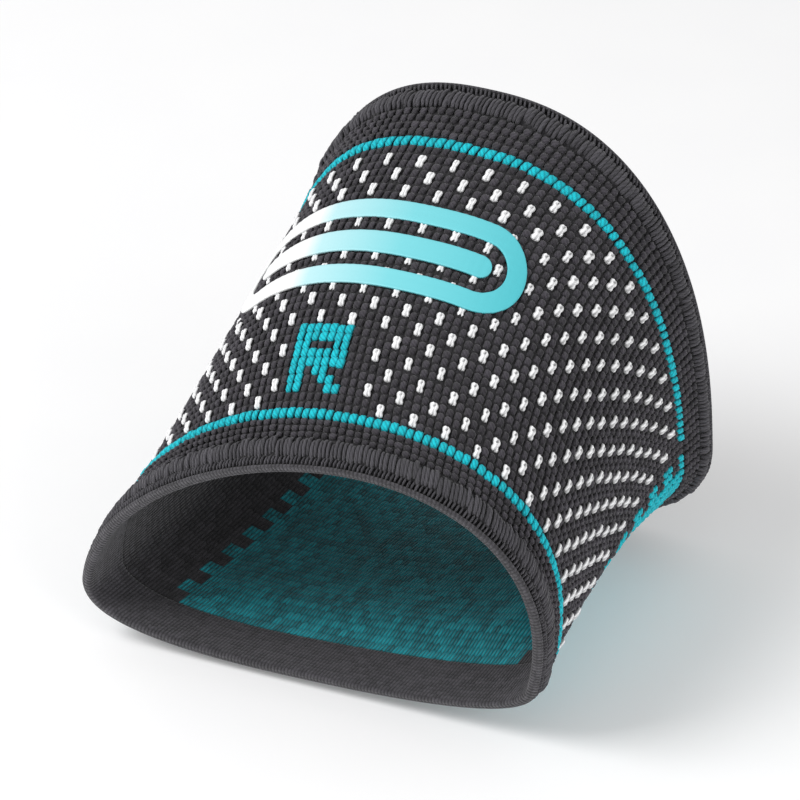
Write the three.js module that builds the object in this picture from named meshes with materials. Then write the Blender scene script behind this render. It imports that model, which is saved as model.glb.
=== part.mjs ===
import * as THREE from "three";

// Arch support sleeve for a right foot: a circular-knit elastic tube that hugs the foot from
// behind the toes to in front of the ankle. Millimetres, toes towards -Y, big-toe side +X, +Z up.
// The origin lies on the plane that the foot stands on, half way along the sleeve.

// The foot inside the sleeve.
const FOOT_BREADTH = 87; // across the toe opening
const INSTEP_HEIGHT = 83.6; // sole to instep at the ankle opening, measured along the opening
const SOLE_RUN = 75.5; // toe opening to ankle opening, along the sole

// The knit.
const BODY_WALL = 1.5;
const WALE_PITCH = 1.49; // stitch width round the foot
const COURSE_PITCH = 1.59; // stitch height along the foot
const GAP = 0.3; // clearance between neighbouring pieces

// Hems and stripes, measured along the sole.
const TOE_HEM_DEPTH = 9.3;
const ANKLE_HEM_DEPTH = 10.2;
const HEM_WALL = 2.8;
const TOE_WELT = 5.6; // the rolled part of the hem at its opening
const ANKLE_WELT = 4.2;
const STRIPE_WIDTH = 1.6;
const STRIPE_WALL = 1.65;

// Where the design sits round the foot, as shares of a turn from the middle of the sole.
const DESIGN_TURN = 0.477; // the middle of the instep, where the mark and the print sit
const DESIGN_TWIST = -0.021; // how far the stitch lines drift from toe opening to ankle opening
const INSTEP_STRETCH = 0.009; // how far the stitches at the sides are pulled round by the instep

// The cushioned panel under the arch.
const PAD_WIDTH = 78; // round the sole, from notch to notch of its stepped edges
const PAD_INWARD = 1.6; // cushion that stands into the hollow of the arch
const PAD_OUTWARD = 0.7;
const PAD_EDGE_SLOPE = 9; // distance over which the cushion rises from its edge
const STRIPE_TO_PAD = 3; // plain knit between a stripe's end and the panel

// The side mark and the print.
const MARK_SETBACK = 3; // toe stripe to the foot of the mark
const MARK_DEPTH = 0.5;
const PRINT_LENGTH = 62;
const PRINT_HEIGHT = 17;
const PRINT_LINE = 3.6; // width of the print's outer line
const PRINT_BAR_HEIGHT = 4.2;
const PRINT_DEPTH = 0.4;
const PRINT_SETBACK = 32.5; // toe stripe to the middle of the print

const CHARCOAL = { color: 0x4b4a50, roughness: 0.95, metalness: 0 };
const DARK_RIB = { color: 0x444349, roughness: 0.95, metalness: 0 };
const TEAL = { color: 0x18b9c6, roughness: 0.85, metalness: 0 };
const PALE_PRINT = { color: 0xd9f0f1, roughness: 0.6, metalness: 0 };

// Sections across the foot from the toe opening to the ankle opening. along is a share of
// SOLE_RUN; shift and width are shares of FOOT_BREADTH; height is a share of INSTEP_HEIGHT;
// widest and arch are shares of the section's height, ridge of its width, and ridge grows with the
// height to the power ridgePower; lean and yaw are degrees; roundTop and roundSole are the
// exponents of the two half ellipses, 2 for a true one.
const SECTIONS = [
  { along: 0, lean: -10.1, yaw: 6.7, shift: 0, width: 1, height: 0.626, widest: 0.2,
    ridge: 0.213, ridgePower: 1.32, arch: 0.016, roundTop: 2, roundSole: 2.54 },
  { along: 1 / 3, lean: -9, yaw: 5.8, shift: 0.029, width: 0.953, height: 0.785, widest: 0.209,
    ridge: 0.106, ridgePower: 1.52, arch: 0.137, roundTop: 2.37, roundSole: 2.47 },
  { along: 2 / 3, lean: -6.1, yaw: 4.9, shift: 0.033, width: 0.919, height: 0.902, widest: 0.217,
    ridge: 0.025, ridgePower: 1.73, arch: 0.132, roundTop: 2.53, roundSole: 2.4 },
  { along: 1, lean: -1.4, yaw: 4, shift: 0.012, width: 0.932, height: 1, widest: 0.225,
    ridge: -0.03, ridgePower: 1.93, arch: 0, roundTop: 2.48, roundSole: 2.33 },
];

// A hem's section: a rolled welt at the opening, a shallow groove, then a flat rib band. along is
// the length from the opening in mm, height a share of HEM_WALL.
const hemProfile = (depth, welt) => [
  { along: 0, height: 0.2 },
  { along: 0.05 * welt, height: 0.72 },
  { along: 0.36 * welt, height: 1 },
  { along: 0.7 * welt, height: 0.94 },
  { along: 0.9 * welt, height: 0.74 },
  { along: 1.05 * welt, height: 0.8 },
  { along: depth, height: 0.7 },
  { along: depth, height: 0 },
  { along: 0.08 * welt, height: 0 },
];

// The stitches of the side mark, R for the right foot, ankle side first.
const MARK_CHART = [
  "#######",
  "#######",
  "##...##",
  "#######",
  "#######",
  "##.##..",
  "##..##.",
  "##...##",
];
const MARK_SHIFT = -1; // stitches from the design's middle to the mark's

const radians = THREE.MathUtils.degToRad;
const smooth = (x) => THREE.MathUtils.smoothstep(x, 0, 1);

// The cubic through a column's values in the four sections.
function column(name, along) {
  return SECTIONS.reduce((sum, row) => {
    const others = SECTIONS.filter((other) => other !== row);
    return sum + others.reduce((share, other) =>
      share * (along - other.along) / (row.along - other.along), row[name]);
  }, 0);
}

// One section of the foot, as points with the length walked from the middle of the sole.
const SECTION_STEPS = 360;
const sectionCache = new Map();

function section(along) {
  if (sectionCache.has(along)) return sectionCache.get(along);
  const value = (name) => column(name, along);
  const width = value("width") * FOOT_BREADTH;
  const height = value("height") * INSTEP_HEIGHT;
  const belly = value("widest") * height;
  const lean = radians(value("lean"));
  const yaw = radians(value("yaw"));
  const points = [];
  for (let i = 0; i <= SECTION_STEPS; i++) {
    const angle = 2 * Math.PI * (0.75 - i / SECTION_STEPS);
    const c = Math.cos(angle);
    const s = Math.sin(angle);
    const power = 2 / (s >= 0 ? value("roundTop") : value("roundSole"));
    const side = width / 2 * Math.sign(c) * Math.abs(c) ** power;
    const reach = s >= 0 ? height - belly : -belly;
    const level = Math.max(0, (belly + reach * Math.abs(s) ** power) / height);
    const lift = value("arch") * smooth(side / width + 0.5) * (1 - Math.min(1, level)) ** 1.5;
    const across = side + value("ridge") * width * level ** value("ridgePower");
    const up = (level + lift) * height;
    points.push(new THREE.Vector3(
      value("shift") * FOOT_BREADTH + across * Math.cos(yaw),
      (along - 0.5) * SOLE_RUN + across * Math.sin(yaw) + up * Math.sin(lean),
      up * Math.cos(lean)));
  }
  const walked = [0];
  for (let i = 1; i < points.length; i++) {
    walked.push(walked[i - 1] + points[i].distanceTo(points[i - 1]));
  }
  const ring = { points, walked, girth: walked[SECTION_STEPS] };
  sectionCache.set(along, ring);
  return ring;
}

// The point of the foot at a share of the run and a share of a turn, evenly spaced by length.
function footPoint(along, turn) {
  const { points, walked, girth } = section(along);
  const target = (turn - Math.floor(turn)) * girth;
  let low = 0;
  let high = SECTION_STEPS;
  while (high - low > 1) {
    const middle = (low + high) >> 1;
    if (walked[middle] > target) high = middle;
    else low = middle;
  }
  const share = (target - walked[low]) / (walked[high] - walked[low]);
  return points[low].clone().lerp(points[high], share);
}

// A point of the knit: the foot's surface moved straight out by height. stitch is a share of all
// stitches round the sleeve, from the design's middle; they are wider on the instep than under
// the sole.
const PROBE = 0.004;

function knitPoint(along, stitch, height) {
  const turn = DESIGN_TURN + DESIGN_TWIST * (along - 0.5) + stitch
    + INSTEP_STRETCH * Math.sin(2 * Math.PI * stitch);
  const round = footPoint(along, turn + PROBE).sub(footPoint(along, turn - PROBE));
  const run = footPoint(along + PROBE, turn).sub(footPoint(along - PROBE, turn));
  return footPoint(along, turn).addScaledVector(round.cross(run).normalize(), height);
}

const MIDDLE_GIRTH = section(0.5).girth;
const COLUMNS = 2 * Math.round(MIDDLE_GIRTH / (4 * WALE_PITCH)); // of two stitches each
const TOE_STRIPE_START = TOE_HEM_DEPTH / SOLE_RUN;
const BODY_START = (TOE_HEM_DEPTH + STRIPE_WIDTH) / SOLE_RUN;
const BODY_END = 1 - (ANKLE_HEM_DEPTH + STRIPE_WIDTH) / SOLE_RUN;
const ANKLE_STRIPE_END = 1 - ANKLE_HEM_DEPTH / SOLE_RUN;
const BODY_ROWS = Math.round((BODY_END - BODY_START) * SOLE_RUN / (2 * COURSE_PITCH));

// A mesh from vertices and quads, turned so that its faces point out.
function solid(name, finish, vertices, quads) {
  const index = quads.flatMap(([a, b, c, d]) => [a, b, c, a, c, d]);
  let volume = 0;
  for (let i = 0; i < index.length; i += 3) {
    const [a, b, c] = index.slice(i, i + 3).map((n) => vertices[n]);
    volume += a.dot(b.clone().cross(c));
  }
  if (volume < 0) index.reverse();
  const geometry = new THREE.BufferGeometry();
  geometry.setAttribute("position",
    new THREE.Float32BufferAttribute(vertices.flatMap((v) => v.toArray()), 3));
  geometry.setIndex(index);
  geometry.computeVertexNormals();
  const mesh = new THREE.Mesh(geometry, new THREE.MeshStandardMaterial(finish));
  mesh.name = name;
  return mesh;
}

// A ring round the foot with a closed section. place(point) gives the share of the run and the
// height of a point of the profile.
function knitRing(name, finish, profile, place) {
  const vertices = [];
  const quads = [];
  const sides = profile.length;
  for (let i = 0; i < COLUMNS; i++) {
    for (let j = 0; j < sides; j++) {
      const { along, height } = place(profile[j]);
      vertices.push(knitPoint(along, i / COLUMNS, height));
      const next = (i + 1) % COLUMNS;
      const after = (j + 1) % sides;
      quads.push([i * sides + j, next * sides + j, next * sides + after, i * sides + after]);
    }
  }
  return solid(name, finish, vertices, quads);
}

// A piece of the knitted wall that holds the cells that owns(column, row) names, on a grid of
// stitch lines. Its edge stands half a gap inside those cells. layer(along, stitch) gives the
// heights of its inner and outer face.
function knitPatch(name, finish, grid, owns, layer) {
  const { columns, rows, stitchAt, alongAt } = grid;
  const wraps = grid.wraps === true;
  const has = (c, r) => {
    if (r < 0 || r >= rows) return false;
    if (!wraps && (c < 0 || c >= columns)) return false;
    return owns((c + columns) % columns, r);
  };
  const vertices = [];
  const numbers = new Map();
  const corner = (c, r) => {
    const key = wraps ? c % columns : c;
    const label = key + "," + r;
    if (!numbers.has(label)) {
      const west = (row) => has(key - 1, row);
      const east = (row) => has(key, row);
      const inset = { c: 0, r: 0 };
      for (const row of [r - 1, r]) {
        if (west(row) && !east(row)) inset.c = -1;
        if (!west(row) && east(row)) inset.c = 1;
      }
      for (const side of [west, east]) {
        if (side(r - 1) && !side(r)) inset.r = -1;
        if (!side(r - 1) && side(r)) inset.r = 1;
      }
      const along = alongAt(r) + inset.r * GAP / 2 / SOLE_RUN;
      const stitch = stitchAt(key) + inset.c * GAP / 2 / section(along).girth;
      const { inner, outer } = layer(along, stitch);
      numbers.set(label, vertices.length);
      vertices.push(knitPoint(along, stitch, inner), knitPoint(along, stitch, outer));
    }
    return numbers.get(label);
  };
  const quads = [];
  for (let c = 0; c < columns; c++) {
    for (let r = 0; r < rows; r++) {
      if (!has(c, r)) continue;
      const [a, b, d, e] = [corner(c, r), corner(c + 1, r), corner(c + 1, r + 1), corner(c, r + 1)];
      quads.push([a, e, d, b], [a + 1, b + 1, d + 1, e + 1]);
      if (!has(c, r - 1)) quads.push([a, b, b + 1, a + 1]);
      if (!has(c + 1, r)) quads.push([b, d, d + 1, b + 1]);
      if (!has(c, r + 1)) quads.push([d, e, e + 1, d + 1]);
      if (!has(c - 1, r)) quads.push([e, a, a + 1, e + 1]);
    }
  }
  return solid(name, finish, vertices, quads);
}

// Who owns each cell of the wall between the hems. The first and last rows hold the stripes,
// which stop short of the panel; the panel's edge steps in and out on every other row.
const PAD_COLUMNS = Math.round(PAD_WIDTH / MIDDLE_GIRTH * COLUMNS / 2);
const PAD_STEP = 1; // columns by which every other row reaches further
const PLAIN_COLUMNS = Math.round(STRIPE_TO_PAD / MIDDLE_GIRTH * COLUMNS);
const WALL_ROWS = BODY_ROWS + 2;
const wall = {
  columns: COLUMNS,
  rows: WALL_ROWS,
  wraps: true,
  stitchAt: (c) => c / COLUMNS,
  alongAt: (r) => {
    if (r === 0) return TOE_STRIPE_START;
    if (r === WALL_ROWS) return ANKLE_STRIPE_END;
    return BODY_START + (BODY_END - BODY_START) * (r - 1) / BODY_ROWS;
  },
};
const fromSole = (c) => Math.abs(c + 0.5 - COLUMNS / 2);
const isPad = (c, r) => fromSole(c) < PAD_COLUMNS + (r % 2 === 0 ? PAD_STEP : 0);
const isStripe = (c) => fromSole(c) > PAD_COLUMNS + PAD_STEP + PLAIN_COLUMNS;
const isToeStripe = (c, r) => r === 0 && isStripe(c);
const isAnkleStripe = (c, r) => r === WALL_ROWS - 1 && isStripe(c);
const isBody = (c, r) => !isPad(c, r) && !isToeStripe(c, r) && !isAnkleStripe(c, r);

// The cushion rises from the panel's edges to its full thickness.
function padCrown(along, stitch) {
  const girth = section(along).girth;
  const aside = Math.abs(stitch - Math.floor(stitch) - 0.5);
  const toSide = (PAD_COLUMNS / COLUMNS - aside) * girth;
  const toEnd = Math.min(along - TOE_STRIPE_START, ANKLE_STRIPE_END - along) * SOLE_RUN;
  return smooth(toSide / PAD_EDGE_SLOPE) * smooth(toEnd / PAD_EDGE_SLOPE);
}

const sleeve = new THREE.Group();

const bodyLayer = () => ({ inner: 0, outer: BODY_WALL });
const stripeLayer = () => ({ inner: 0, outer: STRIPE_WALL });
const padLayer = (along, stitch) => ({
  inner: -PAD_INWARD * padCrown(along, stitch),
  outer: BODY_WALL + PAD_OUTWARD * padCrown(along, stitch),
});
sleeve.add(knitPatch("knit_body", CHARCOAL, wall, isBody, bodyLayer));
sleeve.add(knitPatch("toe_stripe", TEAL, wall, isToeStripe, stripeLayer));
sleeve.add(knitPatch("ankle_stripe", TEAL, wall, isAnkleStripe, stripeLayer));
sleeve.add(knitPatch("arch_pad", TEAL, wall, isPad, padLayer));

const toeProfile = hemProfile(TOE_HEM_DEPTH - GAP / 2, TOE_WELT);
const ankleProfile = hemProfile(ANKLE_HEM_DEPTH - GAP / 2, ANKLE_WELT);
sleeve.add(knitRing("toe_hem", DARK_RIB, toeProfile, ({ along, height }) => ({
  along: along / SOLE_RUN,
  height: height * HEM_WALL,
})));
sleeve.add(knitRing("ankle_hem", DARK_RIB, ankleProfile, ({ along, height }) => ({
  along: 1 - along / SOLE_RUN,
  height: height * HEM_WALL,
})));

// The side mark lies on the wall, one cell to a stitch.
const MARK_COLUMNS = MARK_CHART[0].length;
const MARK_ROWS = MARK_CHART.length;
const mark = {
  columns: MARK_COLUMNS,
  rows: MARK_ROWS,
  stitchAt: (c) => (c - MARK_COLUMNS / 2 + MARK_SHIFT) / (2 * COLUMNS),
  alongAt: (r) => BODY_START + (MARK_SETBACK + r * COURSE_PITCH) / SOLE_RUN,
};
const isMark = (c, r) => MARK_CHART[MARK_ROWS - 1 - r][c] === "#";
const markLayer = () => ({
  inner: BODY_WALL + GAP,
  outer: BODY_WALL + GAP + MARK_DEPTH,
});
sleeve.add(knitPatch("side_mark", TEAL, mark, isMark, markLayer));

// A point of the print, right round the foot and ahead along it in millimetres from its middle.
const PRINT_STITCH = 1 + 2 * Math.PI * INSTEP_STRETCH; // width of its stitches to the mean width

function printPoint(right, ahead, height) {
  const along = BODY_START + (PRINT_SETBACK + ahead) / SOLE_RUN;
  const stitch = right / section(along).girth / PRINT_STITCH;
  return knitPoint(along, stitch, BODY_WALL + GAP + height);
}

// The ring lies between two outlines with round ends, on the same spine and spokes: each spoke
// stands on the spine between the ends' centres and gives a section of four points.
const STRAIGHT_STEPS = 12;
const ROUND_STEPS = 10;

function printRing(name, length, height, line) {
  const reach = (length - height) / 2;
  const spokes = [];
  for (const end of [1, -1]) {
    for (let i = 0; i < STRAIGHT_STEPS; i++) {
      spokes.push({ foot: end * reach * (2 * i / STRAIGHT_STEPS - 1), angle: -end * Math.PI / 2 });
    }
    for (let i = 0; i < ROUND_STEPS; i++) {
      const swing = Math.PI * (i / ROUND_STEPS - 0.5);
      spokes.push({ foot: end * reach, angle: end > 0 ? swing : swing + Math.PI });
    }
  }
  const vertices = [];
  const quads = [];
  spokes.forEach(({ foot, angle }, i) => {
    for (const [radius, lift] of [[height / 2, 0], [height / 2, PRINT_DEPTH],
      [height / 2 - line, PRINT_DEPTH], [height / 2 - line, 0]]) {
      vertices.push(printPoint(foot + radius * Math.cos(angle), radius * Math.sin(angle), lift));
    }
    const next = (i + 1) % spokes.length;
    for (let j = 0; j < 4; j++) {
      const after = (j + 1) % 4;
      quads.push([4 * i + j, 4 * next + j, 4 * next + after, 4 * i + after]);
    }
  });
  return solid(name, PALE_PRINT, vertices, quads);
}

// A film that fills a bar with round ends, in strips across it, which stop just short of the tips.
const BAR_STEPS = 16;
const BAR_SWEEP = 0.88; // share of the half turn that the strips' even angles cover

function printBar(name, length, height) {
  const vertices = [];
  const quads = [];
  for (let i = 0; i <= BAR_STEPS; i++) {
    const angle = Math.PI * (0.5 + BAR_SWEEP * (i / BAR_STEPS - 0.5));
    const right = -Math.cos(angle) * length / 2;
    const past = Math.max(0, Math.abs(right) - (length - height) / 2);
    const half = Math.sqrt(height ** 2 / 4 - past ** 2);
    vertices.push(printPoint(right, -half, 0), printPoint(right, -half, PRINT_DEPTH),
      printPoint(right, half, PRINT_DEPTH), printPoint(right, half, 0));
    if (i === 0) continue;
    for (let j = 0; j < 4; j++) {
      const after = (j + 1) % 4;
      quads.push([4 * i - 4 + j, 4 * i + j, 4 * i + after, 4 * i - 4 + after]);
    }
  }
  const last = 4 * BAR_STEPS;
  quads.push([0, 1, 2, 3], [last + 3, last + 2, last + 1, last]);
  return solid(name, PALE_PRINT, vertices, quads);
}

sleeve.add(printRing("print_ring", PRINT_LENGTH, PRINT_HEIGHT, PRINT_LINE));
sleeve.add(printBar("print_bar",
  PRINT_LENGTH - PRINT_HEIGHT + PRINT_BAR_HEIGHT, PRINT_BAR_HEIGHT));

export default sleeve;
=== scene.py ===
import math

import bpy
import numpy as np
from mathutils import Matrix, Vector


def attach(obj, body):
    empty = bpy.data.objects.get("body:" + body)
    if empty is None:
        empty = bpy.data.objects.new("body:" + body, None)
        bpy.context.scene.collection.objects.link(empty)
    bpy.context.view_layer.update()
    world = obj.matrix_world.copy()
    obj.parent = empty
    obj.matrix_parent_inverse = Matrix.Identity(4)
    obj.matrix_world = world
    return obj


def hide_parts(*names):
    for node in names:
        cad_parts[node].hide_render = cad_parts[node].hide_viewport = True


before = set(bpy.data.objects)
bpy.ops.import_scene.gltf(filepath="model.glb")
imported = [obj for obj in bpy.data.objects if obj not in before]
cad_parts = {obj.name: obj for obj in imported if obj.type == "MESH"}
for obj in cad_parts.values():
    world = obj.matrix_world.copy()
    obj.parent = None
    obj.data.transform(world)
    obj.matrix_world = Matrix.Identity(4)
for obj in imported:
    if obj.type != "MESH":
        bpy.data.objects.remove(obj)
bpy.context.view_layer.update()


# Camera. It stands where the photograph was taken from, in front of the toes on the big-toe side,
# and is aimed at the middle of the sleeve through a lens long enough to fill the picture with it.
# Angles are degrees, places metres, and the lens and its film millimetres.
CAMERA_AZIMUTH = 31.48
CAMERA_ELEVATION = 31.89
CAMERA_DISTANCE = 0.811
CAMERA_ROLL = -1.26
CAMERA_AIM = (0.002, -0.004, 0.041)
CAMERA_LENS = 200
CAMERA_FILM = 36
CAMERA_NEAR = 0.05

azimuth = math.radians(CAMERA_AZIMUTH)
elevation = math.radians(CAMERA_ELEVATION)
away = Vector((math.sin(azimuth) * math.cos(elevation),
               -math.cos(azimuth) * math.cos(elevation),
               math.sin(elevation)))
camera = bpy.data.objects.new("camera", bpy.data.cameras.new("camera"))
camera.data.lens = CAMERA_LENS
camera.data.sensor_width = CAMERA_FILM
camera.data.clip_start = CAMERA_NEAR
camera.location = Vector(CAMERA_AIM) + away * CAMERA_DISTANCE
turned = away.to_track_quat("Z", "Y").to_matrix().to_4x4()
camera.rotation_euler = (turned @ Matrix.Rotation(math.radians(CAMERA_ROLL), 4, "Z")).to_euler()
bpy.context.scene.collection.objects.link(camera)
bpy.context.scene.camera = camera


# Knitted wall. One seamless tube, knitted in the round on 164 needles from charcoal nylon over an
# elastic thread, so it clings to the foot. This piece is the ground between the stitches on the
# outside, coloured far darker than the yarn as painted shade in the gaps, and the fine back of the
# knit on the inside. Lengths are millimetres.
FOOT_BREADTH = 87.0
INSTEP_HEIGHT = 83.6
SOLE_RUN = 75.5
WALES = 164
DESIGN_TURN = 0.477
DESIGN_TWIST = -0.021
INSTEP_STRETCH = 0.009
HEM_DEPTH_TOE = 9.3
COURSE = 1.6
COURSES = 35
SECTION_SAMPLES = 721
CREASE = math.radians(50)
GROUND_HEIGHT = 0.95

# Sections across the foot: shares of the run, degrees, and shares of breadth and height.
foot_sections = {
    "along": (0, 1 / 3, 2 / 3, 1),
    "lean": (-10.1, -9, -6.1, -1.4),
    "yaw": (6.7, 5.8, 4.9, 4),
    "shift": (0, 0.029, 0.033, 0.012),
    "width": (1, 0.953, 0.919, 0.932),
    "height": (0.626, 0.785, 0.902, 1),
    "widest": (0.2, 0.209, 0.217, 0.225),
    "ridge": (0.213, 0.106, 0.025, -0.03),
    "ridge_power": (1.32, 1.52, 1.73, 1.93),
    "arch": (0.016, 0.137, 0.132, 0),
    "round_top": (2, 2.37, 2.53, 2.48),
    "round_sole": (2.54, 2.47, 2.4, 2.33),
}


def smooth(x):
    """0 below 0, 1 above 1, and an even rise between them."""
    x = np.clip(x, 0, 1)
    return x * x * (3 - 2 * x)


def foot_rows(along, turns):
    """Points of the foot in millimetres, one row for each share of the run, at even lengths round
    it. A section is two half superellipses, up and down from its widest level; it leans to the
    big-toe side as it rises, its sole is lifted under the arch, and it is tilted and turned."""
    known = np.array(foot_sections["along"])
    row = {name: np.polyval(np.polyfit(known, values, 3), along)[:, None]
           for name, values in foot_sections.items()}
    angle = 2 * np.pi * (0.75 - np.linspace(0, 1, SECTION_SAMPLES))[None, :]
    cosine, sine = np.cos(angle), np.sin(angle)
    width = row["width"] * FOOT_BREADTH
    height = row["height"] * INSTEP_HEIGHT
    belly = row["widest"]
    power = 2 / np.where(sine >= 0, row["round_top"], row["round_sole"])
    side = width / 2 * np.sign(cosine) * np.abs(cosine) ** power
    reach = np.where(sine >= 0, 1 - belly, -belly)
    level = np.maximum(0, belly + reach * np.abs(sine) ** power)
    lift = row["arch"] * smooth(side / width + 0.5) * (1 - np.minimum(1, level)) ** 1.5
    across = side + row["ridge"] * width * level ** row["ridge_power"]
    up = (level + lift) * height
    lean, yaw = np.radians(row["lean"]), np.radians(row["yaw"])
    x = row["shift"] * FOOT_BREADTH + across * np.cos(yaw)
    y = (along[:, None] - 0.5) * SOLE_RUN + across * np.sin(yaw) + up * np.sin(lean)
    points = np.stack([x, y, up * np.cos(lean)], axis=-1)
    walked = np.cumsum(np.linalg.norm(np.diff(points, axis=1), axis=2), axis=1)
    walked = np.concatenate([np.zeros((len(along), 1)), walked], axis=1)
    even = np.linspace(0, 1, turns, endpoint=False)
    rows = [np.stack([np.interp(even * w[-1], w, p[:, k]) for k in range(3)], axis=-1)
            for w, p in zip(walked, points)]
    return np.array(rows), walked[:, -1]


SURFACE_ROWS = 264
SURFACE_TURNS = 984
SURFACE_MARGIN = 0.05
surface_along = np.linspace(-SURFACE_MARGIN, 1 + SURFACE_MARGIN, SURFACE_ROWS)
surface, girths = foot_rows(surface_along, SURFACE_TURNS)
round_step = np.roll(surface, -1, axis=1) - np.roll(surface, 1, axis=1)
outward = np.cross(round_step, np.gradient(surface, axis=0))
outward /= np.linalg.norm(outward, axis=2, keepdims=True)


def on_knit(wale, ahead, height):
    """Points in metres at a wale counted from the middle of the design towards the big toe, a
    length ahead of the toe opening in mm along the sole, and a height in mm off the foot: the
    foot's surface read between its nearest four points, moved out along its normal. The wales
    are a little wider on the instep than under the sole."""
    wale, ahead, height = np.broadcast_arrays(wale, ahead, height)
    along = ahead / SOLE_RUN
    stretched = wale / WALES + INSTEP_STRETCH * np.sin(2 * np.pi * wale / WALES)
    turn = (DESIGN_TURN + DESIGN_TWIST * (along - 0.5) + stretched) % 1
    row = (along + SURFACE_MARGIN) / (1 + 2 * SURFACE_MARGIN) * (SURFACE_ROWS - 1)
    column = turn * SURFACE_TURNS
    low_row = np.clip(np.floor(row).astype(int), 0, SURFACE_ROWS - 2)
    low_column = np.floor(column).astype(int) % SURFACE_TURNS
    next_column = (low_column + 1) % SURFACE_TURNS
    u = (row - low_row)[..., None]
    v = (column - np.floor(column))[..., None]

    def between(field):
        near = field[low_row, low_column] * (1 - v) + field[low_row, next_column] * v
        far = field[low_row + 1, low_column] * (1 - v) + field[low_row + 1, next_column] * v
        return near * (1 - u) + far * u

    return (between(surface) + between(outward) * height[..., None]) / 1000


def wale_width(ahead):
    """Mean millimetres from one wale to the next at a length ahead of the toe opening."""
    return np.interp(ahead / SOLE_RUN, surface_along, girths) / WALES


def add_piece(name, points, faces, knit=None, yarn=None, rise=None):
    """A smooth mesh from points and arrays of faces. knit holds wale and course for each corner,
    yarn the place along and round a strand with a chance number, rise how far out a point is,
    which the yarn's colour turns into painted shade."""
    mesh = bpy.data.meshes.new(name)
    mesh.vertices.add(len(points))
    mesh.vertices.foreach_set("co", np.ascontiguousarray(points, dtype=np.float32).ravel())
    corners = np.concatenate([f.ravel() for f in faces])
    sides = np.concatenate([np.full(len(f), f.shape[1]) for f in faces])
    mesh.loops.add(len(corners))
    mesh.loops.foreach_set("vertex_index", corners.astype(np.int32))
    mesh.polygons.add(len(sides))
    starts = np.concatenate([[0], np.cumsum(sides)[:-1]])
    mesh.polygons.foreach_set("loop_start", starts.astype(np.int32))
    mesh.update(calc_edges=True)
    mesh.polygons.foreach_set("use_smooth", np.ones(len(sides), dtype=bool))
    if knit is not None:
        layer = mesh.uv_layers.new(name="knit")
        layer.data.foreach_set("uv", knit.astype(np.float32).ravel())
    if yarn is not None:
        strand = mesh.attributes.new("yarn", "FLOAT_VECTOR", "POINT")
        strand.data.foreach_set("vector", yarn.astype(np.float32).ravel())
    if rise is not None:
        outer = mesh.attributes.new("rise", "FLOAT", "POINT")
        outer.data.foreach_set("value", rise.astype(np.float32).ravel())
    piece = bpy.data.objects.new(name, mesh)
    bpy.context.scene.collection.objects.link(piece)
    return piece


def wall_patch(name, cells, wale_lines, ahead_lines, layer):
    """A closed slab over the cells of a grid round the sleeve: an outer and an inner skin whose
    heights layer(wale, ahead) gives, and a rim wherever the next cell isn't held. The outer skin
    takes the first material, the rest the second."""
    columns, rows = cells.shape
    wale, ahead = np.meshgrid(wale_lines[:-1], ahead_lines, indexing="ij")
    inner, outer = layer(wale, ahead)
    points = np.concatenate([on_knit(wale, ahead, inner).reshape(-1, 3),
                             on_knit(wale, ahead, outer).reshape(-1, 3)])
    skin = columns * (rows + 1)
    padded = np.pad(cells, ((0, 0), (1, 1)))
    open_toe = cells & ~padded[:, :-2]
    open_ankle = cells & ~padded[:, 2:]
    open_left = cells & ~np.roll(cells, 1, axis=0)
    open_right = cells & ~np.roll(cells, -1, axis=0)
    # Each kind of face: which cells have it, and its corners as column step, row step, skin.
    kinds = [
        (cells, ((0, 0, 1), (1, 0, 1), (1, 1, 1), (0, 1, 1))),
        (cells, ((0, 0, 0), (0, 1, 0), (1, 1, 0), (1, 0, 0))),
        (open_toe, ((0, 0, 0), (1, 0, 0), (1, 0, 1), (0, 0, 1))),
        (open_ankle, ((0, 1, 1), (1, 1, 1), (1, 1, 0), (0, 1, 0))),
        (open_left, ((0, 1, 0), (0, 0, 0), (0, 0, 1), (0, 1, 1))),
        (open_right, ((1, 0, 0), (1, 1, 0), (1, 1, 1), (1, 0, 1))),
    ]
    faces, places = [], []
    for held, corners in kinds:
        c, r = np.nonzero(held)
        face = [k * skin + (c + i) % columns * (rows + 1) + r + j for i, j, k in corners]
        place = [np.stack([wale_lines[c + i], ahead_lines[r + j]], axis=-1) for i, j, k in corners]
        faces.append(np.stack(face, axis=-1))
        places.append(np.stack(place, axis=1).reshape(-1, 2))
    faces, knit = np.concatenate(faces), np.concatenate(places)
    used, numbers = np.unique(faces, return_inverse=True)
    knit = knit / (1, COURSE)
    patch = add_piece(name, points[used], [numbers.reshape(faces.shape)], knit=knit)
    inside = np.arange(len(faces)) >= np.count_nonzero(cells)
    patch.data.polygons.foreach_set("material_index", inside.astype(np.int32))
    return patch


def add_node(tree, kind, inputs=None, take=0, **options):
    """A shader node with its options set and its inputs filled or linked; gives one output."""
    node = tree.nodes.new("ShaderNode" + kind)
    for option, value in options.items():
        setattr(node, option, value)
    for key, value in (inputs or {}).items():
        if isinstance(value, bpy.types.NodeSocket):
            tree.links.new(value, node.inputs[key])
        else:
            node.inputs[key].default_value = value
    return node.outputs[take]


def calculate(tree, operation, first, second=0.0):
    """The result of a Math node on two sockets or numbers."""
    return add_node(tree, "Math", {0: first, 1: second}, operation=operation)


def new_group(name, inputs, outputs):
    """A node group with named sockets, and its input and output nodes."""
    group = bpy.data.node_groups.new(name, "ShaderNodeTree")
    for socket, kind in inputs:
        group.interface.new_socket(socket, in_out="INPUT", socket_type="NodeSocket" + kind)
    for socket, kind in outputs:
        group.interface.new_socket(socket, in_out="OUTPUT", socket_type="NodeSocket" + kind)
    return group, group.nodes.new("NodeGroupInput").outputs, group.nodes.new("NodeGroupOutput").inputs


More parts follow.
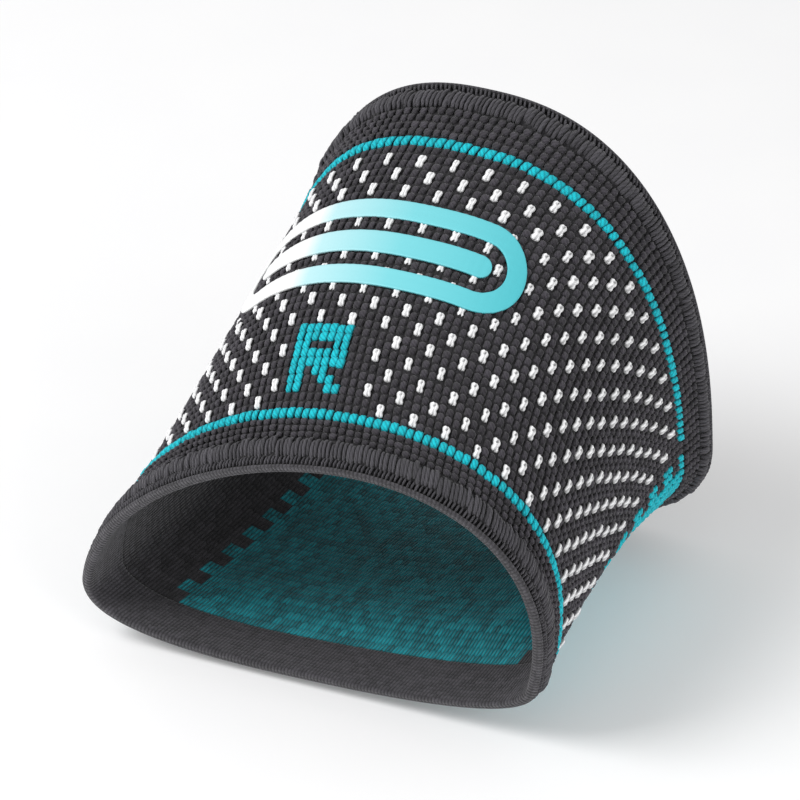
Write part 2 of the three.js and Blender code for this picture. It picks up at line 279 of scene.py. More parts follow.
# Fine knit: stitches too small to be modelled. Each wale holds two legs, |x| = 0.25 from its
# middle; the course number grows with |x|, so each stitch is an arrow, point to the ankle.
fine_knit, given, result = new_group(
    "fine_knit",
    [("Place", "Vector"), ("Colour", "Color"), ("Splay", "Float"), ("Depth", "Float"),
     ("Fleck", "Float")],
    [("Colour", "Color"), ("Normal", "Vector")])
wale_at, course_at = (add_node(fine_knit, "SeparateXYZ", {0: given["Place"]}, take=k) for k in (0, 1))
aside = calculate(fine_knit, "ABSOLUTE", calculate(fine_knit, "SUBTRACT", calculate(
    fine_knit, "FRACT", calculate(fine_knit, "ADD", wale_at, 0.5)), 0.5))
leg = calculate(fine_knit, "SINE", calculate(fine_knit, "MULTIPLY", aside, 2 * math.pi))
slanted = calculate(fine_knit, "ADD", course_at, calculate(
    fine_knit, "MULTIPLY", aside, given["Splay"]))
rung = calculate(fine_knit, "SINE", calculate(fine_knit, "MULTIPLY", calculate(
    fine_knit, "FRACT", slanted), math.pi))
crest = calculate(fine_knit, "MULTIPLY", leg, calculate(
    fine_knit, "ADD", calculate(fine_knit, "MULTIPLY", rung, 0.6), 0.4))
fuzz = add_node(fine_knit, "TexNoise", {
    "Vector": add_node(fine_knit, "TexCoord", take="Object"), "Scale": 3800, "Detail": 3})
height = calculate(fine_knit, "ADD", crest, calculate(fine_knit, "MULTIPLY", fuzz, 0.35))
whole_stitch = add_node(fine_knit, "CombineXYZ", {
    0: calculate(fine_knit, "FLOOR", calculate(fine_knit, "ADD", wale_at, 0.5)),
    1: calculate(fine_knit, "FLOOR", slanted)})
fleck = calculate(fine_knit, "MULTIPLY", calculate(fine_knit, "SUBTRACT", add_node(
    fine_knit, "TexWhiteNoise", {"Vector": whole_stitch}), 0.5), given["Fleck"])
# Painted shade and light: the colour falls to 0.45 of itself between the legs, less far between the
# courses, and rises to 1.2 on the crests; the fleck is a chance tone for each stitch.
shade = calculate(fine_knit, "ADD", calculate(fine_knit, "ADD", calculate(
    fine_knit, "MULTIPLY", crest, 0.75), 0.45), fleck)
tinted = add_node(fine_knit, "MixRGB", {"Fac": 1, "Color1": given["Colour"], "Color2": shade},
                  blend_type="MULTIPLY")
bumped = add_node(fine_knit, "Bump", {
    "Strength": 0.9, "Distance": given["Depth"], "Height": height})
fine_knit.links.new(tinted, result["Colour"])
fine_knit.links.new(bumped, result["Normal"])


def fine_knit_material(name, colour, splay=0.7, depth=0.0003, fleck=0.5):
    """Matt knit for surfaces that carry a knit map of wales and courses."""
    material = bpy.data.materials.new(name)
    material.use_nodes = True
    tree = material.node_tree
    surface_shader = tree.nodes["Principled BSDF"]
    surface_shader.inputs["Roughness"].default_value = 0.9
    surface_shader.inputs["Sheen Weight"].default_value = 0.15
    surface_shader.inputs["Sheen Roughness"].default_value = 0.5
    knit_map = add_node(tree, "UVMap", uv_map="knit")
    stitches = tree.nodes.new("ShaderNodeGroup")
    stitches.node_tree = fine_knit
    stitches.inputs["Colour"].default_value = colour
    stitches.inputs["Splay"].default_value = splay
    stitches.inputs["Depth"].default_value = depth
    stitches.inputs["Fleck"].default_value = fleck
    tree.links.new(knit_map, stitches.inputs["Place"])
    tree.links.new(stitches.outputs["Colour"], surface_shader.inputs["Base Color"])
    tree.links.new(stitches.outputs["Normal"], surface_shader.inputs["Normal"])
    return material


# The arch panel's cells are left out of the tube: 26 or 28 wales each side of the sole's middle.
PAD_NOTCH = 26
PAD_TOOTH = 2

wale_edges = np.arange(WALES + 1) - WALES / 2 - 0.5
course_edges = HEM_DEPTH_TOE + COURSE * np.arange(COURSES + 1)
cell_wale, cell_course = np.meshgrid(wale_edges[:-1] + 0.5, np.arange(COURSES), indexing="ij")
from_sole = WALES / 2 - np.abs(cell_wale)
pad_reach = PAD_NOTCH + PAD_TOOTH * ((cell_course - 2) // 2 % 2 == 0)
in_pad = from_sole < pad_reach

knit_wall = wall_patch("knit_wall", ~in_pad, wale_edges, course_edges,
                       lambda wale, ahead: (0 * wale, 0 * wale + GROUND_HEIGHT))
knit_wall.data.set_sharp_from_angle(angle=CREASE)
# The outer skin's nearly black colour is painted shade between the stitches; the inner skin is the
# knit's own back.
knit_wall.data.materials.append(
    fine_knit_material("charcoal_ground_painted_shade", (0.014, 0.013, 0.016, 1)))
knit_wall.data.materials.append(
    fine_knit_material("charcoal_knit_back", (0.034, 0.032, 0.037, 1), fleck=0.7))
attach(knit_wall, "root")
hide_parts("knit_body")


# Charcoal stitches. Every stitch shows as one bulge of bulky, matt yarn: its two legs meet towards
# the ankle and part a little towards the toes, where they dive behind the next stitch.
CHARCOAL = (0.042, 0.038, 0.047, 1)
YARN_THICKNESS = 0.85

# How far chance moves a stitch: in wales aside, in pitches along, and in shares of its width and
# millimetres of its height.
CHANCE_SPREADS = (0.03, 0.045, 0.08, 0.055)
plain_stitch = {
    "along": (-0.05, 0.05, 0.27, 0.69, 0.91, 1.00),
    "lean": (-0.05, -0.04, -0.02, 0.02, 0.04, 0.05),
    "half": (0, 0.31, 0.415, 0.41, 0.30, 0),
    "top": (0.72, 1.22, 1.54, 1.54, 1.20, 0.70),
    "notch": (0, 0.30, 0.16, 0.08, 0.04, 0),
}
chance = np.random.default_rng(7)


def stitches(name, wale, ahead, pitch, shape, lift=0.0, unevenness=1.0):
    """Bulges of yarn, one to a place. Each is a row of six-point rings (side, crest, notch, crest,
    side, underside) between two closed ends. shape gives, ring by ring, the place along the
    stitch in shares of its pitch, how far it leans and its half width in wales, the height of its
    crests off the foot and the depth of the notch between them in mm. Every stitch is moved a
    little by chance."""
    along, lean, half, top, notch = (
        np.array(shape[key], float)[:, None] for key in ("along", "lean", "half", "top", "notch"))
    count, rings = len(wale), len(along)
    luck = chance.random(count)
    push, slip, swell, raised = (
        (chance.normal(0, spread, count) * unevenness)[:, None, None]
        for spread in CHANCE_SPREADS)
    wale, ahead, lift = (
        np.broadcast_to(values, (count,))[:, None, None] for values in (wale, ahead, lift))
    thick = YARN_THICKNESS * (half / half.max()) ** 0.5
    edge = np.array([-1, -0.5, 0, 0.5, 1, 0])
    drop = np.array([0.45, 0, 0, 0, 0.45, 1])
    split = np.array([0, 0, 1, 0, 0, 0])
    w = wale + push + lean + half * edge * (1 + swell)
    a = ahead + (along + slip + 0 * edge) * pitch
    h = top - thick * drop - notch * split + raised + lift
    size = 6 * rings
    # The first and the last ring have no width, so one point is kept of each.
    keep = np.r_[0, 6:size - 6, size - 6]
    points = on_knit(w, a, h).reshape(count, size, 3)[:, keep]
    ring, corner = np.meshgrid(np.arange(rings - 3), np.arange(6), indexing="ij")
    here, after = 1 + ring * 6 + corner, 1 + ring * 6 + (corner + 1) % 6
    body = np.stack([here, after, after + 6, here + 6], axis=-1).reshape(-1, 4)
    first, following = 1 + np.arange(6), 1 + (np.arange(6) + 1) % 6
    last = 6 * (rings - 3)
    tips = np.concatenate([
        np.stack([0 * first, following, first], axis=-1),
        np.stack([first + last, following + last, 0 * first + len(keep) - 1], axis=-1)])
    shift = len(keep) * np.arange(count)[:, None, None]
    faces = [(body + shift).reshape(-1, 4), (tips + shift).reshape(-1, 3)]
    if pitch < 0:
        faces = [kind[:, ::-1] for kind in faces]
    yarn = np.empty((count, len(keep), 3))
    yarn[..., 0] = np.repeat(np.linspace(0, 1, rings), 6)[keep]
    yarn[..., 1] = np.tile([0, 0.2, 0.4, 0.6, 0.8, 0.4], rings)[keep]
    yarn[..., 2] = luck[:, None]
    # The rise is 1 on the crests and less on the sides, near the ends, in the notch and underneath;
    # the yarn's colour is darkened by it as painted shade.
    crest = smooth(half / half.max()) * np.array([0.4, 1, 1, 1, 0.4, 0])
    rise = np.maximum(0, crest - 1.4 * notch * split).ravel()[keep]
    rise = np.broadcast_to(rise, (count, len(keep)))
    return add_piece(name, points.reshape(-1, 3), faces, yarn=yarn, rise=rise)


# Yarn: plies that wind round each stitch, loose fibres, a chance tone for each stitch, and
# painted shade in its notch, on its sides and underside and near its ends, where it dives between
# its neighbours. The plies' grooves are also painted darker, as shade.
yarn_look, given, result = new_group(
    "yarn_look",
    [("Strand", "Vector"), ("Rise", "Float"), ("Colour", "Color"), ("Root Shade", "Float"),
     ("Shade Spread", "Float"), ("Ply Turns", "Float"), ("Ply Depth", "Float")],
    [("Colour", "Color"), ("Normal", "Vector")])
strand_x, strand_y, strand_z = (
    add_node(yarn_look, "SeparateXYZ", {0: given["Strand"]}, take=k) for k in (0, 1, 2))
wind = calculate(yarn_look, "ADD", calculate(
    yarn_look, "MULTIPLY", strand_x, given["Ply Turns"]), strand_y)
ply = calculate(yarn_look, "ABSOLUTE", calculate(yarn_look, "SINE", calculate(
    yarn_look, "MULTIPLY", wind, 2 * math.pi)))
fibres = add_node(yarn_look, "TexNoise", {
    "Vector": add_node(yarn_look, "TexCoord", take="Object"), "Scale": 5200, "Detail": 4,
    "Roughness": 0.65})
relief = calculate(yarn_look, "ADD", calculate(yarn_look, "MULTIPLY", ply, 0.6), fibres)
spread = calculate(yarn_look, "ADD", calculate(yarn_look, "MULTIPLY", calculate(
    yarn_look, "SUBTRACT", strand_z, 0.5), given["Shade Spread"]), 1)
# Painted shade: the colour falls to the root shade where the rise is 0, at the ends, in the notch and
# underneath.
painted_root_shade = add_node(yarn_look, "MapRange", {
    "Value": given["Rise"], "From Min": 0, "From Max": 0.9, "To Min": given["Root Shade"],
    "To Max": 1})
# The ply's grooves are painted darker as shade, mixed with the fibres' own speckle.
ply_shade_and_fibre_speckle = calculate(yarn_look, "ADD", calculate(yarn_look, "MULTIPLY", relief, 0.8), 0.3)
tone = calculate(yarn_look, "MULTIPLY", calculate(yarn_look, "MULTIPLY", spread, painted_root_shade), ply_shade_and_fibre_speckle)
toned = add_node(yarn_look, "MixRGB", {"Fac": 1, "Color1": given["Colour"], "Color2": tone},
                 blend_type="MULTIPLY")
wound = add_node(yarn_look, "Bump", {
    "Strength": 1, "Distance": given["Ply Depth"], "Height": relief})
yarn_look.links.new(toned, result["Colour"])
yarn_look.links.new(wound, result["Normal"])


def yarn_material(name, colour, root_shade, spread=0.25, turns=2.0, depth=0.00014,
                  roughness=0.85, sheen=0.2):
    """Yarn for stitches that carry the yarn and rise attributes."""
    material = bpy.data.materials.new(name)
    material.use_nodes = True
    tree = material.node_tree
    surface_shader = tree.nodes["Principled BSDF"]
    surface_shader.inputs["Roughness"].default_value = roughness
    surface_shader.inputs["Sheen Weight"].default_value = sheen
    surface_shader.inputs["Sheen Roughness"].default_value = 0.4
    look = tree.nodes.new("ShaderNodeGroup")
    look.node_tree = yarn_look
    tree.links.new(add_node(tree, "Attribute", take="Vector", attribute_name="yarn"),
                   look.inputs["Strand"])
    tree.links.new(add_node(tree, "Attribute", take="Fac", attribute_name="rise"),
                   look.inputs["Rise"])
    look.inputs["Colour"].default_value = colour
    look.inputs["Root Shade"].default_value = root_shade
    look.inputs["Shade Spread"].default_value = spread
    look.inputs["Ply Turns"].default_value = turns
    look.inputs["Ply Depth"].default_value = depth
    tree.links.new(look.outputs["Colour"], surface_shader.inputs["Base Color"])
    tree.links.new(look.outputs["Normal"], surface_shader.inputs["Normal"])
    return material


# The design, cell by cell. Spots stand on every other wale, two courses high, in rows that are
# staggered from one to the next, and leave room round the letter.
DESIGN_REACH = 52
MARK_CHART = (
    "#######",
    "#######",
    "##...##",
    "#######",
    "#######",
    "##.##..",
    "##..##.",
    "##...##",
)
MARK_WALE = -4
MARK_COURSE = 3
ROOM_BESIDE_MARK = 6
ROOM_ABOVE_MARK = 10

in_design = np.abs(cell_wale) <= DESIGN_REACH
in_stripe = in_design & ((cell_course == 0) | (cell_course == COURSES - 1))
mark_cells = np.array([[letter == "#" for letter in row] for row in MARK_CHART[::-1]]).T
in_mark = np.zeros_like(in_pad)
mark_start = MARK_WALE + WALES // 2
mark_wales, mark_courses = mark_cells.shape
in_mark[mark_start:mark_start + mark_wales, MARK_COURSE:MARK_COURSE + mark_courses] = mark_cells
spot_row = (cell_course - 1) // 2
staggered = (cell_wale // 2 - spot_row) % 2 == 0
in_spot = (in_design & (cell_wale % 2 == 0) & staggered & (cell_course > 0)
           & (cell_course < COURSES - 2))
in_spot &= ~((np.abs(cell_wale) < ROOM_BESIDE_MARK) & (cell_course <= ROOM_ABOVE_MARK))
is_plain = ~(in_pad | in_stripe | in_mark | in_spot)

# Painted shade takes the charcoal stitches down to 0.15 of their colour where their rise is 0, at the
# ends, in the notch and underneath.
charcoal_yarn = yarn_material("charcoal_yarn", CHARCOAL, 0.15, spread=0.7)
halves = {"toe_half_stitches": cell_course < COURSES // 2,
          "ankle_half_stitches": cell_course >= COURSES // 2}
for half_name, in_half in halves.items():
    picked = is_plain & in_half
    plain = stitches(half_name, cell_wale[picked], course_edges[cell_course[picked]], COURSE,
                     plain_stitch)
    plain.data.materials.append(charcoal_yarn)
    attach(plain, "root")
    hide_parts("knit_body")


# White spots. Each is one slipped stitch of white yarn, drawn up over two courses: a round head
# towards the ankle with a pinhole in it, a narrow waist, and two feet that spread to the toes.
# The print's film presses flat those that it covers.
spot_stitch = {
    "along": (0.11, 0.18, 0.28, 0.43, 0.54, 0.64, 0.74, 0.83, 0.90),
    "lean": (-0.03, -0.03, -0.02, 0, 0.01, 0.02, 0.02, 0.03, 0.03),
    "half": (0, 0.42, 0.46, 0.35, 0.43, 0.475, 0.44, 0.32, 0),
    "top": (1.10, 1.52, 1.76, 1.76, 1.88, 1.92, 1.88, 1.62, 1.00),
    "notch": (0, 0.90, 0.35, 0.03, 0.08, 1.00, 0.08, 0.10, 0),
}
PRINT_LENGTH = 62
PRINT_HEIGHT = 17
PRINT_SETBACK = 32.5
PRINT_MIDDLE = HEM_DEPTH_TOE + COURSE + PRINT_SETBACK
PRESSED_BY = 0.4
PRESSED_BEYOND = 0.6

first_course = in_spot & (cell_course % 2 == 1)
spot_wale, spot_ahead = cell_wale[first_course], course_edges[cell_course[first_course]]
under_print = ((np.abs(spot_wale * wale_width(spot_ahead)) < PRINT_LENGTH / 2)
               & (np.abs(spot_ahead + COURSE - PRINT_MIDDLE) < PRINT_HEIGHT / 2 + PRESSED_BEYOND))
spots = stitches("white_spots", spot_wale, spot_ahead, 2 * COURSE, spot_stitch,
                 lift=-PRESSED_BY * under_print)
# Painted shade darkens the white yarn to 0.45 of its colour in the pinhole, between the feet and near
# the ends.
spots.data.materials.append(
    yarn_material("white_yarn", (0.93, 0.93, 0.94, 1), 0.45, spread=0.06, turns=0, depth=0.00008))
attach(spots, "root")
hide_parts("knit_body")


# Teal stripes. One course of thicker teal stitches along each hem, round the instep only; it
# stops on both sides before the arch panel.
TEAL = (0.001, 0.50, 0.59, 1)
stripe_stitch = {
    "along": (-0.20, -0.09, 0.22, 0.78, 1.04, 1.14),
    "lean": (-0.15, -0.13, -0.06, 0.06, 0.13, 0.15),
    "half": (0, 0.38, 0.475, 0.475, 0.39, 0),
    "top": (0.90, 1.42, 1.82, 1.82, 1.42, 0.90),
    "notch": (0, 0.18, 0.08, 0.05, 0.03, 0),
}
# Painted shade darkens the teal stitches to 0.45 of their colour at their ends, in their notch and
# underneath.
teal_yarn = yarn_material("teal_yarn", TEAL, 0.45, spread=0.2, sheen=0.05)
for stripe_name, course in (("toe_stripe", 0), ("ankle_stripe", COURSES - 1)):
    picked = in_stripe & (cell_course == course)
    stripe = stitches(stripe_name + "_stitches", cell_wale[picked],
                      course_edges[cell_course[picked]], COURSE, stripe_stitch)
    stripe.data.materials.append(teal_yarn)
    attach(stripe, "root")
    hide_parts(stripe_name)


# Side mark. The letter R for the right foot, knitted in teal: one stitch to each place of its
# chart, seven wales by eight courses.
mark_stitch = {
    "along": (-0.14, -0.03, 0.24, 0.76, 1.02, 1.12),
    "lean": (-0.10, -0.09, -0.04, 0.04, 0.09, 0.10),
    "half": (0, 0.40, 0.49, 0.49, 0.41, 0),
    "top": (0.90, 1.38, 1.70, 1.70, 1.38, 0.90),
    "notch": (0, 0.18, 0.08, 0.05, 0.03, 0),
}
mark = stitches("side_mark_stitches", cell_wale[in_mark], course_edges[cell_course[in_mark]],
                COURSE, mark_stitch)
mark.data.materials.append(teal_yarn)
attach(mark, "root")
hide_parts("side_mark")


# Arch panel. A teal pocket knitted into the sole with a thin foam cushion in it; it swells a
# little outwards and more into the hollow under the arch. Its side edges step in and out.
PAD_OUTWARD = 0.7
PAD_INWARD = 1.6
PAD_EDGE_SLOPE = 9
PAD_STITCH_DROP = 0.1


def pad_crown(wale, ahead):
    """0 at the panel's edge, rising evenly to 1 within the slope's width."""
    beside = WALES / 2 - np.abs((wale + WALES / 2) % WALES - WALES / 2)
    to_side = (PAD_NOTCH - beside) * wale_width(ahead)
    to_end = np.minimum(ahead - course_edges[0], course_edges[-1] - ahead)
    return smooth(to_side / PAD_EDGE_SLOPE) * smooth(to_end / PAD_EDGE_SLOPE)


arch_cushion = wall_patch(
    "arch_cushion", in_pad, wale_edges, course_edges,
    lambda wale, ahead: (-PAD_INWARD * pad_crown(wale, ahead),
                         GROUND_HEIGHT + PAD_OUTWARD * pad_crown(wale, ahead)))
arch_cushion.data.set_sharp_from_angle(angle=CREASE)
# The panel's outer skin is a far darker teal than the yarn: painted shade between the stitches.
arch_cushion.data.materials.append(fine_knit_material("teal_ground_painted_shade", (0.002, 0.20, 0.25, 1)))
arch_cushion.data.materials.append(
    fine_knit_material("teal_knit_back", (0.004, 0.26, 0.31, 1), fleck=0.7))
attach(arch_cushion, "root")
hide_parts("arch_pad")

pad_wale, pad_ahead = cell_wale[in_pad], course_edges[cell_course[in_pad]]
arch_stitches = stitches(
    "arch_pad_stitches", pad_wale, pad_ahead, COURSE, mark_stitch,
    lift=PAD_OUTWARD * pad_crown(pad_wale, pad_ahead + COURSE / 2) - PAD_STITCH_DROP)
arch_stitches.data.materials.append(teal_yarn)
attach(arch_stitches, "root")
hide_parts("arch_pad")


# Hems. The tube's ends are knitted double in charcoal rib and folded back: a soft rolled welt at
# the opening with ribs across it and a row of linking stitches near its edge, and between the
# welt and the stripe a flat band of small stitches. The ankle hem has a narrower welt, which
# stands out a little past the opening, and a wider band.
ROLL_SAMPLES = 2
PROFILE_STEPS = 2
FINE_RIB = 0.8

# Profile of the toe hem: from the opening, depth into the sleeve and height off the foot in mm.
hem_profile = {
    "depth": (0.00, 0.10, 0.42, 0.80, 1.12, 1.90, 2.30, 3.30, 4.50, 5.30, 5.70, 6.60, 7.90, 9.10,
              9.15, 7.50, 5.50, 3.50, 1.50, 0.40),
    "height": (0.60, 1.50, 2.12, 2.00, 1.30, 1.40, 2.00, 2.22, 2.06, 1.50, 1.25, 1.23, 1.23, 1.20,
               0.00, 0.00, 0.00, 0.00, 0.00, 0.08),
}
rib_stitch = {
    "along": (-0.02, 0.06, 0.25, 0.50, 0.75, 0.93, 1.00),
    "lean": (0, 0, 0, 0, 0, 0, 0),
    "half": (0, 0.20, 0.25, 0.255, 0.25, 0.20, 0),
    "top": (1.75, 2.35, 2.70, 2.80, 2.62, 2.00, 1.35),
    "notch": (0, 0, 0, 0, 0, 0, 0),
}
band_stitch = {
    "along": (-0.06, 0.08, 0.32, 0.66, 0.90, 1.04),
    "lean": (-0.03, -0.03, -0.01, 0.01, 0.03, 0.03),
    "half": (0, 0.31, 0.44, 0.43, 0.31, 0),
    "top": (1.20, 1.64, 1.98, 1.98, 1.60, 1.20),
    "notch": (0, 0.20, 0.12, 0.06, 0.03, 0),
}
link_stitch = {
    "along": (-0.05, 0.10, 0.36, 0.66, 0.92, 1.05),
    "lean": (-0.20, -0.15, -0.06, 0.06, 0.15, 0.20),
    "half": (0, 0.10, 0.14, 0.14, 0.10, 0),
    "top": (1.45, 2.14, 2.40, 2.44, 2.26, 1.60),
    "notch": (0, 0, 0, 0, 0, 0),
}

# Depths between which the stitches lie, and the first and last row of the profile under them.
LINK_START = 0.75
LINK_END = 2.30
RIB_START = 2.05
BAND_START = 5.65
HEM_END = 9.15
FIRST_COVERED_ROW = 6
LAST_COVERED_ROW = 27


def smooth_loop(values, steps):
    """A closed curve through the values, with steps places from each to the next."""
    values = np.array(values, float)
    t = np.linspace(0, 1, steps, endpoint=False)
    before, here, after, beyond = (np.roll(values, k)[:, None] for k in (1, 0, -1, -2))
    return (here + 0.5 * t * (after - before + t * (2 * before - 5 * here + 4 * after - beyond
            + t * (3 * (here - after) + beyond - before)))).ravel()


def hem_roll(name, to_ahead):
    """The hem's profile carried round the sleeve. What the stitches cover, from the links to the
    stripe, takes the second material, which is darker as painted shade between the stitches."""
    depth = smooth_loop(hem_profile["depth"], PROFILE_STEPS)
    height = np.maximum(0, smooth_loop(hem_profile["height"], PROFILE_STEPS))
    columns = WALES * ROLL_SAMPLES
    wale = np.arange(columns + 1) / ROLL_SAMPLES
    points = on_knit(wale[:-1, None], to_ahead(depth), height)
    rows = len(depth)
    c, r = np.meshgrid(np.arange(columns), np.arange(rows), indexing="ij")
    steps = ((0, 0), (1, 0), (1, 1), (0, 1))
    face = [(c + i) % columns * rows + (r + j) % rows for i, j in steps]
    closed_depth = np.hypot(np.diff(depth, append=depth[0]), np.diff(height, append=height[0]))
    walked = np.concatenate([[0], np.cumsum(closed_depth)])
    place = [np.stack([wale[c + i], walked[r + j] / FINE_RIB], axis=-1) for i, j in steps]
    faces = np.stack(face, axis=-1).reshape(-1, 4)
    knit = np.stack(place, axis=2).reshape(-1, 2)
    if to_ahead(1) < to_ahead(0):
        faces = faces[:, ::-1]
        knit = knit.reshape(-1, 4, 2)[:, ::-1].reshape(-1, 2)
    roll = add_piece(name, points.reshape(-1, 3), [faces], knit=knit)
    covered = ((r >= FIRST_COVERED_ROW) & (r <= LAST_COVERED_ROW)).ravel()
    roll.data.polygons.foreach_set("material_index", covered.astype(np.int32))
    return roll


def toe_ahead(depth):
    """From a depth into the toe hem to a length ahead of the toe opening."""
    return depth


def ankle_ahead(depth):
    """The same for the ankle hem: the toe hem's depths drawn to its own welt and band."""
    return SOLE_RUN - np.interp(depth, (0, BAND_START, HEM_END), (-0.8, 4.15, 10.05))


def laid(name, to_ahead, wale, start, end, courses, shape, unevenness=1.0):
    """Courses of stitches from one depth into a hem to another."""
    wale, course = (grid.ravel() for grid in np.meshgrid(wale, np.arange(courses)))
    pitch = (to_ahead(end) - to_ahead(start)) / courses
    return stitches(name, wale, to_ahead(start) + course * pitch, pitch, shape,
                    unevenness=unevenness)


rib_knit = fine_knit_material("rib_knit", (0.055, 0.052, 0.060, 1), splay=0.9, depth=0.00025)
# This one is far darker than the rim's knit: painted shade in the gaps between the hem's stitches;
# the rib yarn's root shade of 0.4 is painted shade too.
rib_ground_painted_shade = fine_knit_material("rib_ground_painted_shade", (0.016, 0.015, 0.018, 1), splay=0.9, depth=0.00025)
rib_yarn = yarn_material("rib_yarn", (0.059, 0.056, 0.065, 1), 0.4, spread=0.5)
every_wale = np.arange(WALES, dtype=float)
every_half = np.arange(0, WALES, 0.5)
for hem_name, to_ahead, band_courses in (("toe_hem", toe_ahead, 3), ("ankle_hem", ankle_ahead, 4)):
    roll = hem_roll(hem_name + "_roll", to_ahead)
    roll.data.materials.append(rib_knit)
    roll.data.materials.append(rib_ground_painted_shade)
    links = laid(hem_name + "_links", to_ahead, every_half, LINK_START, LINK_END, 1, link_stitch)
    ribs = laid(hem_name + "_ribs", to_ahead, every_half, RIB_START, BAND_START, 1, rib_stitch,
                unevenness=1.5)
    band = laid(hem_name + "_band", to_ahead, every_wale, BAND_START, HEM_END, band_courses,
                band_stitch)
    links.data.materials.append(rib_yarn)
    ribs.data.materials.append(rib_yarn)
    band.data.materials.append(charcoal_yarn)
    for piece in (roll, ribs, band, links):
        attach(piece, "root")
        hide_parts(hem_name)


# Print. A generic flat badge of soft transfer film pressed on the instep: an open ring with round
# ends and a bar inside it, white at the little-toe side and light teal from there on.
PRINT_LINE = 3.6
PRINT_BAR_HEIGHT = 4.2
FILM_BASE = 1.35
FILM_TOP = 1.78
RELIEF_BY_WALE = 0.035
RELIEF_BY_COURSE = 0.025
STRAIGHT_STEPS = 60
ROUND_STEPS = 36
BAR_STEPS = 80


def film_strip(name, right, forth, right_across, forth_across, closed):
    """Film between two edges: places right and forth of the print's middle in mm along the line,
    and the half width as a vector at each, carried over a flat profile with rounded edges. It
    takes a little of the relief of the stitches under it."""
    share = np.array([-1, -1, -0.985, -0.94, -0.8, -0.5, -0.17, 0.17, 0.5, 0.8, 0.94, 0.985, 1, 1])
    lift = np.array([0, 0.6, 0.88, 0.98, 1, 1, 1, 1, 1, 1, 0.98, 0.88, 0.6, 0])
    across = right[:, None] + right_across[:, None] * share
    ahead = PRINT_MIDDLE + forth[:, None] + forth_across[:, None] * share
    wale = across / wale_width(ahead) / (1 + 2 * np.pi * INSTEP_STRETCH)
    relief = (RELIEF_BY_WALE * np.cos(2 * np.pi * wale)
              + RELIEF_BY_COURSE * np.cos(2 * np.pi * (ahead - HEM_DEPTH_TOE) / COURSE))
    height = FILM_BASE + lift * (FILM_TOP - FILM_BASE + relief)
    points = on_knit(wale, ahead, height)
    along, rows = wale.shape
    spans = along if closed else along - 1
    a, r = np.meshgrid(np.arange(spans), np.arange(rows), indexing="ij")
    steps = ((0, 0), (1, 0), (1, 1), (0, 1))
    faces = [(a + i) % along * rows + (r + j) % rows for i, j in steps]
    faces = [np.stack(faces, axis=-1).reshape(-1, 4)]
    if not closed:
        faces.append(np.arange(rows)[None])
        faces.append((np.arange(rows) + (along - 1) * rows)[None, ::-1])
    film = add_piece(name, points.reshape(-1, 3), faces)
    shift = film.data.attributes.new("sideways", "FLOAT", "POINT")
    shift.data.foreach_set("value", (across / PRINT_LENGTH + 0.5).astype(np.float32).ravel())
    return film


film_material = bpy.data.materials.new("print_film")
film_material.use_nodes = True
tree = film_material.node_tree
film_shader = tree.nodes["Principled BSDF"]
film_shader.inputs["Roughness"].default_value = 0.42
film_shader.inputs["IOR"].default_value = 1.45
sideways = add_node(tree, "Attribute", take="Fac", attribute_name="sideways")
ramp_node = tree.nodes.new("ShaderNodeValToRGB")
ramp = ramp_node.color_ramp
ramp.elements[0].position = 0.30
ramp.elements[0].color = (0.90, 0.91, 0.91, 1)
ramp.elements[1].position = 1.0
ramp.elements[1].color = (0.085, 0.56, 0.63, 1)
for position, colour in ((0.36, (0.50, 0.80, 0.84, 1)), (0.62, (0.20, 0.66, 0.72, 1))):
    stop = ramp.elements.new(position)
    stop.color = colour
tree.links.new(sideways, ramp_node.inputs["Fac"])
grain = add_node(tree, "TexNoise", {
    "Vector": add_node(tree, "TexCoord", take="Object"), "Scale": 2600, "Detail": 3})
tree.links.new(ramp_node.outputs["Color"], film_shader.inputs["Base Color"])
tree.links.new(add_node(tree, "Bump", {"Strength": 0.25, "Distance": 0.00005, "Height": grain}),
               film_shader.inputs["Normal"])

# The ring's outline: a spine between the centres of its round ends, and a spoke to every place.
reach = (PRINT_LENGTH - PRINT_HEIGHT) / 2
middle_radius = (PRINT_HEIGHT - PRINT_LINE) / 2
straight = np.linspace(-reach, reach, STRAIGHT_STEPS, endpoint=False)
swing = np.linspace(-math.pi / 2, math.pi / 2, ROUND_STEPS, endpoint=False)
round_end = np.full(ROUND_STEPS, reach)
sideways_spoke = np.full(STRAIGHT_STEPS, math.pi / 2)
foot_right = np.concatenate([straight, round_end, -straight, -round_end])
spoke = np.concatenate([-sideways_spoke, swing, sideways_spoke, swing + math.pi])
ring_film = film_strip(
    "print_ring_film", foot_right + middle_radius * np.cos(spoke), middle_radius * np.sin(spoke),
    -PRINT_LINE / 2 * np.cos(spoke), -PRINT_LINE / 2 * np.sin(spoke), closed=True)
bar_half = (PRINT_LENGTH - PRINT_HEIGHT + PRINT_BAR_HEIGHT) / 2
bar_right = bar_half * -np.cos(np.linspace(0.02, math.pi - 0.02, BAR_STEPS))
past = np.maximum(0, np.abs(bar_right) - (bar_half - PRINT_BAR_HEIGHT / 2))
bar_width = np.sqrt(PRINT_BAR_HEIGHT ** 2 / 4 - past ** 2)
bar_film = film_strip("print_bar_film", bar_right, 0 * bar_right, 0 * bar_right, bar_width,
                      closed=False)
for film, node in ((ring_film, "print_ring"), (bar_film, "print_bar")):
    film.data.materials.append(film_material)
    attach(film, "root")
    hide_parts(node)


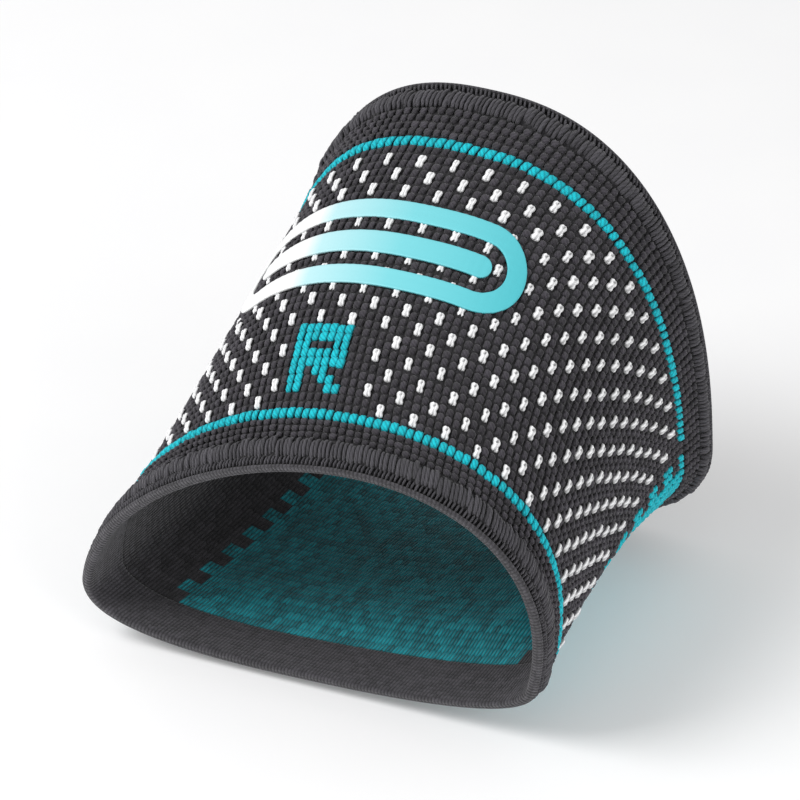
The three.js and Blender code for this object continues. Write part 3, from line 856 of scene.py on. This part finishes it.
# Studio. A pale floor just under the sleeve, an even white surround, a large soft lamp from the
# upper left of the camera and a weaker one from its right.
FLOOR_LEVEL = -0.0032
floor_mesh = bpy.data.meshes.new("floor")
floor_mesh.from_pydata([(-3, -3, FLOOR_LEVEL), (3, -3, FLOOR_LEVEL), (3, 3, FLOOR_LEVEL),
                        (-3, 3, FLOOR_LEVEL)], [], [(0, 1, 2, 3)])
floor = bpy.data.objects.new("floor", floor_mesh)
bpy.context.scene.collection.objects.link(floor)
floor_material = bpy.data.materials.new("pale_floor")
floor_material.use_nodes = True
tree = floor_material.node_tree
floor_shader = tree.nodes["Principled BSDF"]
floor_shader.inputs["Roughness"].default_value = 0.7
floor_shader.inputs["Emission Color"].default_value = (1, 1, 1, 1)
floor_shader.inputs["Emission Strength"].default_value = 0.16
mottle = add_node(tree, "TexNoise", {
    "Vector": add_node(tree, "TexCoord", take="Object"), "Scale": 40, "Detail": 2})
floor_tone = add_node(tree, "MixRGB", {
    "Fac": mottle, "Color1": (0.86, 0.86, 0.87, 1), "Color2": (0.89, 0.89, 0.89, 1)})
tree.links.new(floor_tone, floor_shader.inputs["Base Color"])
floor_mesh.materials.append(floor_material)

world = bpy.data.worlds.new("studio")
world.use_nodes = True
world.node_tree.nodes["Background"].inputs["Color"].default_value = (1, 1, 1, 1)
world.node_tree.nodes["Background"].inputs["Strength"].default_value = 0.47
bpy.context.scene.world = world


def add_lamp(name, place, size, watts):
    """A square soft lamp that faces the middle of the sleeve."""
    lamp = bpy.data.lights.new(name, "AREA")
    lamp.size = size
    lamp.energy = watts
    holder = bpy.data.objects.new(name, lamp)
    holder.location = place
    towards = Vector(CAMERA_AIM) - Vector(place)
    holder.rotation_euler = towards.to_track_quat("-Z", "Y").to_euler()
    bpy.context.scene.collection.objects.link(holder)


add_lamp("key_lamp", (-0.45, -0.45, 0.75), 0.5, 6.4)
add_lamp("fill_lamp", (0.75, -0.25, 0.35), 0.6, 2.3)
bpy.context.scene.view_settings.view_transform = "Standard"
